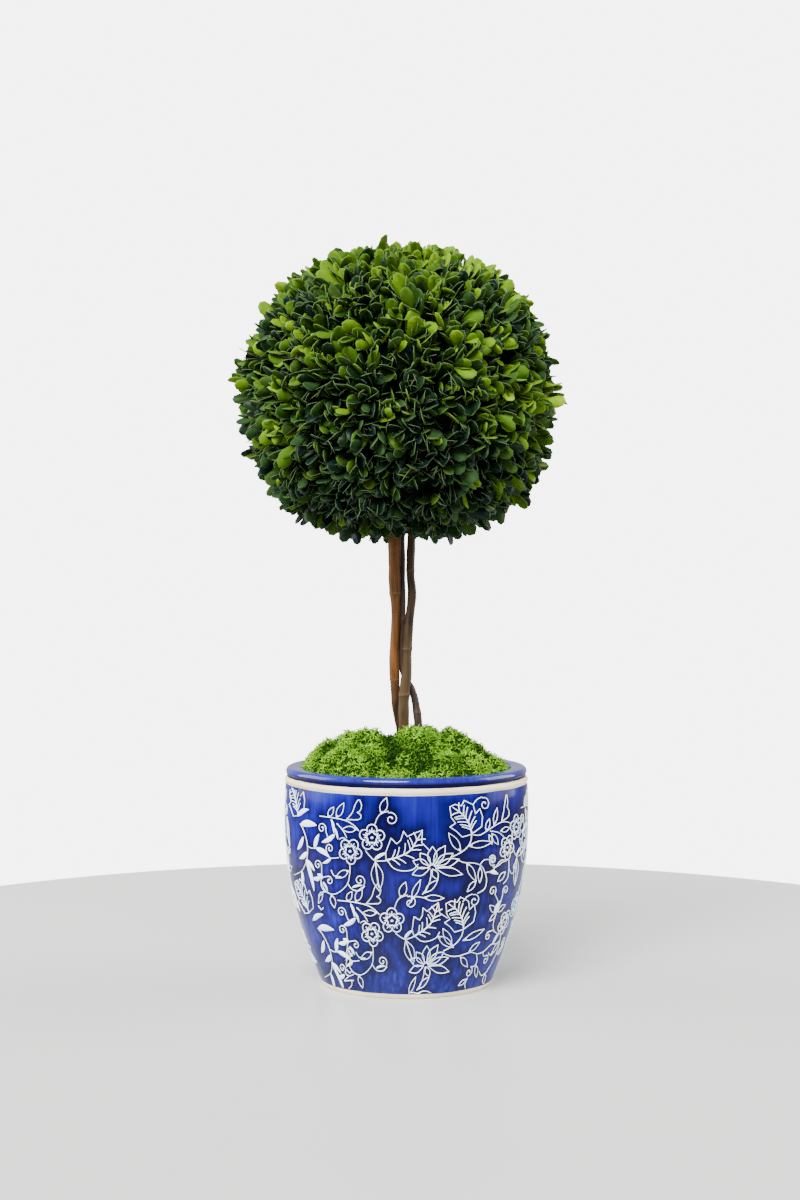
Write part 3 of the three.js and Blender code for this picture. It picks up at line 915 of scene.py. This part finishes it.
def moss_height(x, y):
    """How high the moss lies at a place: the highest cushion there, with its lumps and hollows."""
    top = RIM_LEVEL - 0.002 + 0.25 * (MOUTH - np.hypot(x, y))
    for middle, half, rise in cushions():
        away = np.hypot((x - middle[0]) / half[0], (y - middle[1]) / half[1])
        share = np.clip(1 - away**CUSHION_SQUARENESS, 0, None) ** (1 / CUSHION_SQUARENESS)
        top = np.maximum(top, GROUND + rise * share)
    inward = np.maximum(MOUTH - np.hypot(x, y), 0)
    top = np.minimum(top, RIM_LEVEL - 0.0015 + 0.006 * (1 - np.exp(-inward / 0.004)) + 0.85 * inward)
    return top - hollow_depth(x, y) - CLEFT_DEPTH * (1 - clumps(x, y))


def hollow_depth(x, y):
    return sum(
        depth * np.exp(-((x - hollow_x) ** 2 + (y - hollow_y) ** 2) / width**2)
        for hollow_x, hollow_y, depth, width in np.array(HOLLOWS) * MM
    )


def make_moss_bed():
    """The dense moss that shows between the curls, painted near black for the shade in the gaps among them.
    """
    rings = np.linspace(AXIS_GAP, MOUTH - 0.0006, 54)
    angles = np.linspace(0, 2 * math.pi, 150, endpoint=False)
    across, around = np.meshgrid(rings, angles, indexing="ij")
    x, y = about_axis(across, around)
    z = np.maximum(moss_height(x, y) - BED_DEPTH, GROUND + 0.0006)
    top = np.stack([x, y, z], axis=-1).reshape(-1, 3)
    floor = np.stack([x[-1], y[-1], np.full(len(angles), GROUND + 0.0004)], axis=-1)
    middle = np.stack([x[0], y[0], np.full(len(angles), GROUND + 0.0004)], axis=-1)
    points = np.concatenate([top, floor, middle])
    # Painted shade: the bed is darker than any curl, for the shade between them.
    finish = plain_growth("moss_bed", (0.007, 0.022, 0.002), 0.9, 500, 0.5, gloss=0.03)
    bed = add_piece("moss_bed", points, tube_faces(len(rings) + 2, len(angles)), [finish])
    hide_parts(*MOSS_NODES)


def make_moss():
    """Short curls like those of wool, stood all over the cushions and thicker where these are steep."""
    make_moss_bed()
    tries = int(MOSS_CURLS * MOSS_STEEPEST / 1.6)
    spread = MOUTH * 0.995 * np.sqrt(chance.random(tries))
    around = chance.random(tries) * 2 * math.pi
    x, y = about_axis(spread, around)
    step = 0.0006
    lean = np.stack([
        moss_height(x - step, y) - moss_height(x + step, y),
        moss_height(x, y - step) - moss_height(x, y + step),
        np.full(tries, 2 * step),
    ], axis=-1)
    steep = np.linalg.norm(lean, axis=1) / (2 * step)
    keep = np.flatnonzero(chance.random(tries) * MOSS_STEEPEST < steep)[:MOSS_CURLS]
    base = np.stack([x, y, moss_height(x, y)], axis=-1)[keep]
    normal = unit(lean[keep])
    # Painted shade: curls low in a cleft or deep in a hollow are dealt the darker tints, and those on top the
    # lighter ones.
    score = clumps(base[:, 0], base[:, 1])
    score = score - HOLLOW_SHADE * np.maximum(hollow_depth(base[:, 0], base[:, 1]), 0)
    score = score + 0.24 * chance.normal(size=len(base))
    tint = deal_out(score, [share for _, share in MOSS_TINTS.values()])
    for order, (name, (colour, _)) in enumerate(MOSS_TINTS.items()):
        points, faces = moss_curls(base[tint == order], normal[tint == order])
        finish = plain_growth("moss_" + name, colour, 0.85, 900, 0.15, gloss=0.03)
        curls = add_piece("moss_curls_" + name, points, faces, [finish])
        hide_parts(*MOSS_NODES)


def moss_curls(base, normal):
    """One winding strand at each place, that wanders out of the moss and turns once about its own way."""
    count = len(base)
    way = unit(normal + 0.8 * chance.normal(size=(count, 3)))
    first, second = frames_about(way)
    length = chance.uniform(0.0022, 0.0042, count)[:, None, None]
    wind = chance.uniform(0.0007, 0.0012, count)[:, None, None]
    turns = chance.uniform(3.5, 7.0, count)[:, None, None]
    turns = turns * np.where(chance.random(count) < 0.5, 1, -1)[:, None, None]
    t = np.linspace(0, 1, CURL_POINTS)[None, :, None]
    circle = first[:, None] * np.cos(turns * t) + second[:, None] * np.sin(turns * t)
    paths = base[:, None] - normal[:, None] * CURL_ROOT + way[:, None] * t * length + circle * wind
    radii = np.interp(np.linspace(0, 1, CURL_POINTS), [0, 0.4, 0.8, 1], [0.00035, 0.00042, 0.00038, 0.00022])
    return strands(paths, np.broadcast_to(radii, (count, CURL_POINTS)))


# ---------------------------------------------------------------- foliage
SPRIGS = 1180
SPRIG_SHAKE = 0.045
SPRIG_LEAN = 0.09  # how far a sprig's axis strays from straight out
PAIRS = 3  # crossed pairs of leaves on the last of a sprig, the only ones that show
CORE_SHARE = 0.80  # the dark middle, painted as the shade deep in the ball, against the reach of the leaves
FOOT_SHARE = CORE_SHARE - 0.03  # where the sprigs begin, just inside it
LEAF_THICKNESS = 0.00032
LEAF_EDGE = (0.085, 0.132, 0.060)

# Tints of the leaves, dealt out darker below and lighter above as painted shade and light: colour of the
# face, colour of the back, gloss, and share of the sprigs.
LEAF_TINTS = {
    "deep": ((0.0023, 0.0108, 0.0060), (0.015, 0.040, 0.0100), 0.10, 0.26),
    "dark": ((0.0052, 0.0185, 0.0054), (0.029, 0.066, 0.0085), 0.10, 0.27),
    "mid": ((0.0120, 0.037, 0.0036), (0.048, 0.106, 0.0055), 0.08, 0.28),
    "fresh": ((0.034, 0.081, 0.0022), (0.084, 0.167, 0.0045), 0.06, 0.155),
    "light": ((0.098, 0.192, 0.004), (0.145, 0.255, 0.006), 0.06, 0.035),
}
STRAYS = (  # tips in mm of the sprigs that the shears missed, and their tints, counted up from the deepest
    (115.5, -16, 433, 4), (112, -30, 440, 4), (111, -34, 429, 4), (-127, -12, 453, 2), (-128.5, -16, 445, 3),
    (-120.5, -22, 462, 2), (-124, -10, 433, 3), (-121, -14, 418, 3), (35, -30, 329, 0), (90, -20, 354, 1),
    (-88, -24, 356, 3),
)
STRAY_TIPS = np.array(STRAYS)[:, :3] * MM
LEAF_LENGTH = (0.0175, 0.0245)
LEAF_WIDTH = (0.37, 0.51)  # as shares of its length
LEAF_REACH = 1.055  # the furthest out that a leaf may end, against the ball's skin
STRAY_REACH = 1.15
STRAY_SPAN = 0.02  # how near a stray's tip a leaf belongs to it
STEM_ROOM = 0.0095  # kept free of leaves about the stems
FOOT_ROOM = 0.014  # and of the sprigs' feet
TINT_STEPS = [-1, 0, 0, 0, 0, 0, 0, 0, 1, 2]  # how far a leaf's tint may be from its sprig's

# Half of a leaf's outline: share of its length, and share of its half width.
LEAF_OUTLINE = np.array([(0.14, 0.28), (0.41, 0.78), (0.70, 1.0), (0.92, 0.68)])


def out_to_skin(away):
    """How far out places are, given from the ball's centre: 0 at the centre and 1 on its skin."""
    scaled = np.abs(away / BALL_SIZE)
    power = np.where(away[..., 2] < 0, *BALL_SQUARENESS)
    level = np.hypot(scaled[..., 0], scaled[..., 1])
    return (level**power + scaled[..., 2] ** power) ** (1 / power)


def boxy_reach(directions):
    """Places on the ball's skin in directions from its centre."""
    return BALL_CENTRE + directions / out_to_skin(directions)[..., None]


def even_directions(count):
    order = np.arange(count)
    level = 1 - (2 * order + 1) / count
    ring = np.sqrt(1 - level**2)
    return np.stack([*about_axis(ring, order * GOLDEN_TURN), level], axis=-1)


def make_core():
    """The middle that the sprigs are stuck in: it stands for the twigs inside, painted near black as the
    shade there.
    """
    rings, sides = 40, 64
    slope = np.linspace(0.0005, math.pi - 0.0005, rings)[:, None]
    around = np.linspace(0, 2 * math.pi, sides, endpoint=False)[None]
    directions = np.stack([*about_axis(np.sin(slope), around), np.cos(slope) + 0 * around], axis=-1)
    share = CORE_SHARE + 0.012 * np.sin(directions[..., :1] * 31) * np.sin(directions[..., 1:2] * 27)
    points = boxy_reach(directions) - BALL_CENTRE
    points = (BALL_CENTRE + points * share).reshape(-1, 3)
    # Painted shade: near black for the depths of the ball among the twigs.
    finish = plain_growth("core_twigs_painted_shade", (0.002, 0.008, 0.005), 0.9, 400, 0.5, gloss=0.05)
    core = add_piece("foliage_core", points, tube_faces(rings, sides)[:, ::-1], [finish])
    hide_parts("foliage_ball")


def frames_about(axes):
    """For each axis a pair of directions square to it, turned by chance."""
    helper = unit(chance.normal(size=axes.shape))
    first = unit(np.cross(axes, helper))
    return first, np.cross(axes, first)


def make_sprigs():
    """The foot and tip of every sprig, the strays last. None has its foot in among the stems."""
    directions = unit(even_directions(SPRIGS) + SPRIG_SHAKE * chance.normal(size=(SPRIGS, 3)))
    reach = chance.uniform(0.93, 0.99, SPRIGS) + 0.03 * (chance.random(SPRIGS) < 0.05)
    tip = BALL_CENTRE + (boxy_reach(directions) - BALL_CENTRE) * reach[:, None]
    foot = boxy_reach(unit(directions + SPRIG_LEAN * chance.normal(size=(SPRIGS, 3)))) - BALL_CENTRE
    foot = BALL_CENTRE + foot * FOOT_SHARE
    free = np.hypot(foot[:, 0] - STEMS_MIDDLE, foot[:, 1]) > FOOT_ROOM
    free |= foot[:, 2] > BALL_CENTRE[2]
    stray_foot = BALL_CENTRE + (STRAY_TIPS - BALL_CENTRE) * FOOT_SHARE
    return np.concatenate([foot[free], stray_foot]), np.concatenate([tip[free], STRAY_TIPS])


def make_twigs(foot, tip):
    t = np.linspace(0, 1, 4)[None, :, None]
    bow = 0.0015 * chance.normal(size=(len(foot), 1, 3)) * np.sin(math.pi * t)
    paths = foot[:, None] + (tip - foot)[:, None] * t * 0.93 + bow
    radii = np.broadcast_to(np.linspace(0.0008, 0.0004, 4), (len(foot), 4))
    points, faces = strands(paths, radii)
    finish = plain_growth("twig_bark", (0.030, 0.034, 0.012), 0.7, 300, 0.3)
    twigs = add_piece("foliage_twigs", points, faces, [finish])
    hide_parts("foliage_ball")


def leaf_template():
    """One leaf as rows of (along, across, which layer), its triangles, and the finish that each takes."""
    rows = []
    for layer in (1, -1):
        rows.append((0, 0, layer))
        for along, half in LEAF_OUTLINE:
            rows += [(along, -half, layer), (along, 0, layer), (along, half, layer)]
        rows.append((1, 0, layer))
    stations = len(LEAF_OUTLINE)
    under = 3 * stations + 2  # rows in one layer
    tip = under - 1
    one_side = [(0, 1, 2), (0, 2, 3), (tip - 3, tip, tip - 2), (tip - 2, tip, tip - 1)]
    for station in range(stations - 1):
        for k in (1, 2):
            a = 3 * station + k
            one_side += [(a, a + 3, a + 4), (a, a + 4, a + 1)]
    margin = [0, *range(1, tip, 3), tip, *range(tip - 1, 0, -3)]
    edge = []
    for here, after in zip(margin, margin[1:] + margin[:1]):
        edge += [(here, here + under, after + under), (here, after + under, after)]
    triangles = one_side + [(a + under, c + under, b + under) for a, b, c in one_side] + edge
    finishes = [0] * len(one_side) + [1] * len(one_side) + [2] * len(edge)
    return np.array(rows, dtype=float), np.array(triangles), np.array(finishes)


def place_leaves(root, ahead, face, length, width, droop, cup):
    """Leaves from their roots: ahead is where each points, and face is where its upper side looks."""
    rows, _, _ = leaf_template()
    side = np.cross(ahead, face)
    along = rows[None, :, 0, None] * length[:, None, None]
    across = rows[None, :, 1, None] * width[:, None, None] / 2
    thick = LEAF_THICKNESS / 2 * rows[None, :, 2, None]
    sag = droop[:, None, None] * along**2 / length[:, None, None]
    lift = np.abs(across) * cup[:, None, None] - sag + thick
    return root[:, None] + ahead[:, None] * along + side[:, None] * across + face[:, None] * lift


def sprig_tints(tip):
    """The tint of each sprig: darker below and lighter towards the top as painted shade and light from above,
    in patches.
    """
    away = (tip - BALL_CENTRE) / BALL_SIZE
    patches = np.sin(away[:, 1] * 7 + away[:, 2] * 4) - np.cos(away[:, 0] * 5) * np.cos(away[:, 2] * 4 - 0.3)
    # Painted light and shade: the score rises with height, so the upper sprigs get the lighter tints and the
    # lower ones the deeper.
    score = away[:, 2] * np.abs(away[:, 2]) * 1.15 + away[:, 0] * 0.15 + 0.45 * patches
    score = score + 0.45 * chance.normal(size=len(tip))
    score = score + 1.6 * (chance.random(len(tip)) < 0.04)
    tints = deal_out(score, [share for *_, share in LEAF_TINTS.values()])
    tints[-len(STRAYS):] = [tint for *_, tint in STRAYS]
    return tints


def make_leaves(foot, tip):
    axis = unit(tip - foot)
    first, second = frames_about(axis)
    count = len(foot)
    sprig_tint = sprig_tints(tip)
    made = {name: [] for name in LEAF_TINTS}
    for pair in range(PAIRS):
        age = 1 - pair / (PAIRS - 1)  # 1 at the sprig's foot, 0 at its tip
        for side in (1, -1):
            turn = pair * math.pi / 2 + 0.35 * chance.normal(size=(count, 1))
            out = side * (first * np.cos(turn) + second * np.sin(turn))
            spread = np.radians(np.abs(11 + 20 * age + 8 * chance.normal(size=(count, 1))))
            ahead = axis * np.cos(spread) + out * np.sin(spread)
            face = axis * np.sin(spread) - out * np.cos(spread)
            face = unit(face + 0.38 * chance.normal(size=(count, 1)) * np.cross(axis, out))
            ahead = unit(ahead - face * (ahead * face).sum(axis=1, keepdims=True))
            length = chance.uniform(*LEAF_LENGTH, count)
            width = length * chance.uniform(*LEAF_WIDTH, count)
            root = tip - axis * (length[:, None] * 0.93 + 0.009 * age)
            root = root + 0.0016 * chance.normal(size=(count, 3))
            droop = chance.uniform(-0.06, 0.16, count)
            cup = chance.uniform(-0.05, 0.22, count)
            leaves = place_leaves(root, ahead, face, length, width, droop, cup)
            tint = sprig_tint + chance.choice(TINT_STEPS, count)
            tint = np.clip(tint, 0, len(made) - 1)
            for order, name in enumerate(made):
                made[name].append(leaves[tint == order])
    for name, parts in made.items():
        add_leaves(name, keep_in_reach(np.concatenate(parts)))


def add_leaves(tint, leaves):
    """One piece with all the leaves of a tint: their faces, backs and pale edges."""
    _, triangles, finish_of_face = leaf_template()
    faces = triangles[None] + (np.arange(len(leaves)) * leaves.shape[1])[:, None, None]
    upper, back, gloss, _ = LEAF_TINTS[tint]
    rim = tuple(0.25 * own + 0.75 * pale for own, pale in zip(back, LEAF_EDGE))
    finishes = [
        plain_growth("leaf_" + tint, upper, 0.36, 350, gloss=gloss),
        plain_growth("leaf_back_" + tint, back, 0.55, 350, gloss=0.05),
        plain_growth("leaf_edge_" + tint, rim, 0.6, 350, gloss=0.07),
    ]
    sides = np.tile(finish_of_face, len(leaves))
    points, faces = leaves.reshape(-1, 3), faces.reshape(-1, 3)
    piece = add_piece("box_leaves_" + tint, points, faces, finishes, sides)
    piece.data.polygons.foreach_set("use_smooth", sides < 2)
    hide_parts("foliage_ball")


def keep_in_reach(leaves):
    """Drops leaves that would touch the stems, or stand out of the ball though they are on no stray."""
    away = leaves - BALL_CENTRE
    strays = np.linalg.norm(leaves.mean(axis=1)[:, None] - STRAY_TIPS, axis=2).min(axis=1) < STRAY_SPAN
    inside = out_to_skin(away).max(axis=1) < np.where(strays, STRAY_REACH, LEAF_REACH)
    clear = np.hypot(leaves[..., 0] - STEMS_MIDDLE, leaves[..., 1]).min(axis=1) > STEM_ROOM
    clear |= away[..., 2].min(axis=1) > 0
    return leaves[inside & clear]


# ---------------------------------------------------------------- stage
ROOM_LIGHT = 0.75  # the light that the pale room gives
ROOM_SEEN = 6.0  # and how bright its walls look
TABLE = 0.585  # radius of the pale round top that the pot stands on
TABLE_STOPS = [(0.3, (0.53, 0.53, 0.52)), (0.7, (0.55, 0.55, 0.54))]
LIT_POINT = Vector((0, 0, 0.3))  # where the lights are turned to
EYE = (-0.0047, -1.6, 0.336)
EYE_DOWN = 1.86  # degrees that the view tips down
LENS = 64.8


def make_stage():
    finish = Finish("pale_table", roughness=0.3, specular_ior_level=0.5)
    finish.show("Base Color", finish.ramp(finish.noise(3), TABLE_STOPS))
    edge = arc(TABLE - 0.010, -0.010, 0.010, 90, -90, 12)
    profile = np.concatenate([[(0.0001, 0)], edge, [(0.0001, -0.020)]])
    points, faces = turn_profile(profile, 240)
    floor = new_object("floor", points, faces[:, ::-1], [finish.material])


def add_light(kind, name, place, power, **settings):
    data = bpy.data.lights.new(name, kind)
    data.energy = power
    for setting, value in settings.items():
        setattr(data, setting, value)
    light = bpy.data.objects.new(name, data)
    light.location = place
    light.rotation_euler = (LIT_POINT - Vector(place)).to_track_quat("-Z", "Y").to_euler()
    light.visible_camera = False
    link(light)


def make_lights():
    """A pale room that gives little light itself, and soft boxes above and to both sides."""
    world = bpy.data.worlds.new("soft_room")
    world.use_nodes = True
    nodes, links = world.node_tree.nodes, world.node_tree.links
    seen = nodes.new("ShaderNodeLightPath").outputs["Is Camera Ray"]
    strength = nodes.new("ShaderNodeMapRange")
    strength.inputs["To Min"].default_value = ROOM_LIGHT
    strength.inputs["To Max"].default_value = ROOM_SEEN
    links.new(seen, strength.inputs["Value"])
    links.new(strength.outputs["Result"], nodes["Background"].inputs["Strength"])
    nodes["Background"].inputs["Color"].default_value = (1, 1, 1, 1)
    bpy.context.scene.world = world
    add_light("SUN", "overhead", (-0.22, -0.50, 0.84), 11.0, angle=math.radians(38))
    add_light("AREA", "left_box", (-1.9, 0.4, 0.8), 62, size=1.6)
    add_light("AREA", "right_box", (1.9, 0.4, 0.8), 68, size=1.6)


def make_camera():
    data = bpy.data.cameras.new("camera")
    data.sensor_width = 36
    data.lens = LENS
    camera = bpy.data.objects.new("camera", data)
    camera.location = EYE
    camera.rotation_euler = (math.radians(90 - EYE_DOWN), 0, 0)
    link(camera)
    bpy.context.scene.camera = camera


# ---------------------------------------------------------------- the whole plant
strokes = draw_scroll()
make_pot(np.concatenate([points for points, _ in strokes]))
make_scroll(strokes)
make_stems()
make_moss()
make_core()
sprig_foot, sprig_tip = make_sprigs()
make_twigs(sprig_foot, sprig_tip)
make_leaves(sprig_foot, sprig_tip)
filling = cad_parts["pot_filling"]
filling.data.materials.clear()
filling.data.materials.append(peat())
make_stage()
make_lights()
make_camera()
